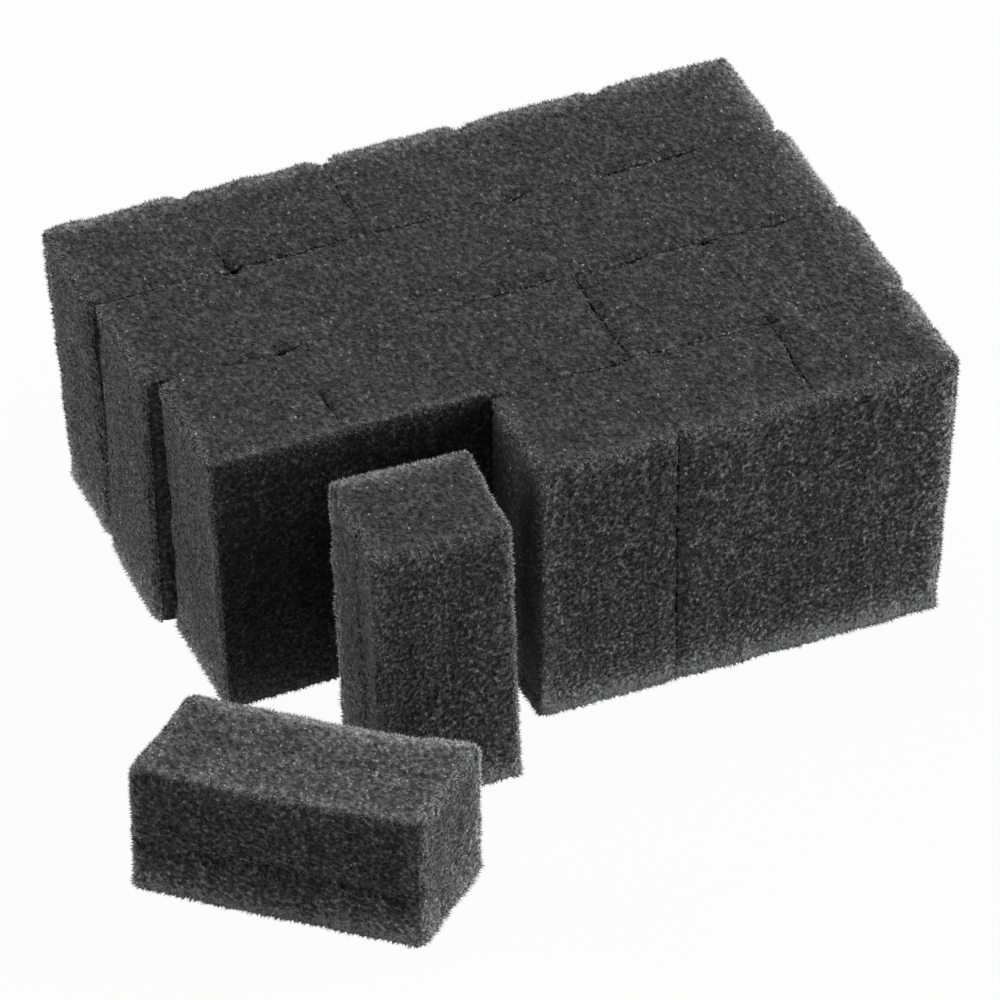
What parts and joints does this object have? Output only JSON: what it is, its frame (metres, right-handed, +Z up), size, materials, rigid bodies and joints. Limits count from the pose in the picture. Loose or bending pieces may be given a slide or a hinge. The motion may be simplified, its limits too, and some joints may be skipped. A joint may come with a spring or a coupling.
{
  "type": "filter sponge",
  "caption": "Black open-cell filter foam mat, knife-cut into upright blocks that lift out one by one; loose blocks stand and lie at its open front corner.",
  "frame": {"origin": "on the surface the foam stands on, at the middle of the footprint of all the blocks, the loose ones included", "axes": "+X along the rows to the right, -Y towards the front where the loose blocks are, +Z up along the blocks"},
  "size_m": [0.1462, 0.1306, 0.05],
  "materials": {
    "black_foam": "matte"
  },
  "bodies": {
    "second_row_block_3": {"second_row_block_3": "black_foam"},
    "back_row_block_1": {"back_row_block_1": "black_foam"},
    "back_row_block_2": {"back_row_block_2": "black_foam"},
    "back_row_block_3": {"back_row_block_3": "black_foam"},
    "back_row_block_4": {"back_row_block_4": "black_foam"},
    "back_row_block_5": {"back_row_block_5": "black_foam"},
    "second_row_block_1": {"second_row_block_1": "black_foam"},
    "second_row_block_2": {"second_row_block_2": "black_foam"},
    "second_row_block_4": {"second_row_block_4": "black_foam"},
    "second_row_block_5": {"second_row_block_5": "black_foam"},
    "third_row_block_1": {"third_row_block_1": "black_foam"},
    "third_row_block_2": {"third_row_block_2": "black_foam"},
    "third_row_block_3": {"third_row_block_3": "black_foam"},
    "third_row_block_4": {"third_row_block_4": "black_foam"},
    "third_row_block_5": {"third_row_block_5": "black_foam"},
    "front_row_block_3": {"front_row_block_3": "black_foam"},
    "front_row_block_4": {"front_row_block_4": "black_foam"},
    "front_row_block_5": {"front_row_block_5": "black_foam"},
    "loose_block_standing": {"loose_block_standing": "black_foam"},
    "loose_block_lying": {"loose_block_lying": "black_foam"}
  },
  "joints": [
    {"name": "lift_back_row_block_1", "type": "slide", "parent": "second_row_block_3", "child": "back_row_block_1", "axis": [0, 0, 1], "range_m": [0, 0.055]},
    {"name": "lift_back_row_block_2", "type": "slide", "parent": "second_row_block_3", "child": "back_row_block_2", "axis": [0, 0, 1], "range_m": [0, 0.055]},
    {"name": "lift_back_row_block_3", "type": "slide", "parent": "second_row_block_3", "child": "back_row_block_3", "axis": [0, 0, 1], "range_m": [0, 0.055]},
    {"name": "lift_back_row_block_4", "type": "slide", "parent": "second_row_block_3", "child": "back_row_block_4", "axis": [0, 0, 1], "range_m": [0, 0.055]},
    {"name": "lift_back_row_block_5", "type": "slide", "parent": "second_row_block_3", "child": "back_row_block_5", "axis": [0, 0, 1], "range_m": [0, 0.055]},
    {"name": "lift_second_row_block_1", "type": "slide", "parent": "second_row_block_3", "child": "second_row_block_1", "axis": [0, 0, 1], "range_m": [0, 0.055]},
    {"name": "lift_second_row_block_2", "type": "slide", "parent": "second_row_block_3", "child": "second_row_block_2", "axis": [0, 0, 1], "range_m": [0, 0.055]},
    {"name": "lift_second_row_block_4", "type": "slide", "parent": "second_row_block_3", "child": "second_row_block_4", "axis": [0, 0, 1], "range_m": [0, 0.055]},
    {"name": "lift_second_row_block_5", "type": "slide", "parent": "second_row_block_3", "child": "second_row_block_5", "axis": [0, 0, 1], "range_m": [0, 0.055]},
    {"name": "lift_third_row_block_1", "type": "slide", "parent": "second_row_block_3", "child": "third_row_block_1", "axis": [0, 0, 1], "range_m": [0, 0.055]},
    {"name": "lift_third_row_block_2", "type": "slide", "parent": "second_row_block_3", "child": "third_row_block_2", "axis": [0, 0, 1], "range_m": [0, 0.055]},
    {"name": "lift_third_row_block_3", "type": "slide", "parent": "second_row_block_3", "child": "third_row_block_3", "axis": [0, 0, 1], "range_m": [0, 0.055]},
    {"name": "lift_third_row_block_4", "type": "slide", "parent": "second_row_block_3", "child": "third_row_block_4", "axis": [0, 0, 1], "range_m": [0, 0.055]},
    {"name": "lift_third_row_block_5", "type": "slide", "parent": "second_row_block_3", "child": "third_row_block_5", "axis": [0, 0, 1], "range_m": [0, 0.055]},
    {"name": "lift_front_row_block_3", "type": "slide", "parent": "second_row_block_3", "child": "front_row_block_3", "axis": [0, 0, 1], "range_m": [0, 0.055]},
    {"name": "lift_front_row_block_4", "type": "slide", "parent": "second_row_block_3", "child": "front_row_block_4", "axis": [0, 0, 1], "range_m": [0, 0.055]},
    {"name": "lift_front_row_block_5", "type": "slide", "parent": "second_row_block_3", "child": "front_row_block_5", "axis": [0, 0, 1], "range_m": [0, 0.055]},
    {"name": "lift_loose_block_standing", "type": "slide", "parent": "second_row_block_3", "child": "loose_block_standing", "axis": [0, 0, 1], "range_m": [0, 0.055]},
    {"name": "lift_loose_block_lying", "type": "slide", "parent": "second_row_block_3", "child": "loose_block_lying", "axis": [0, 0, 1], "range_m": [0, 0.055]}
  ]
}
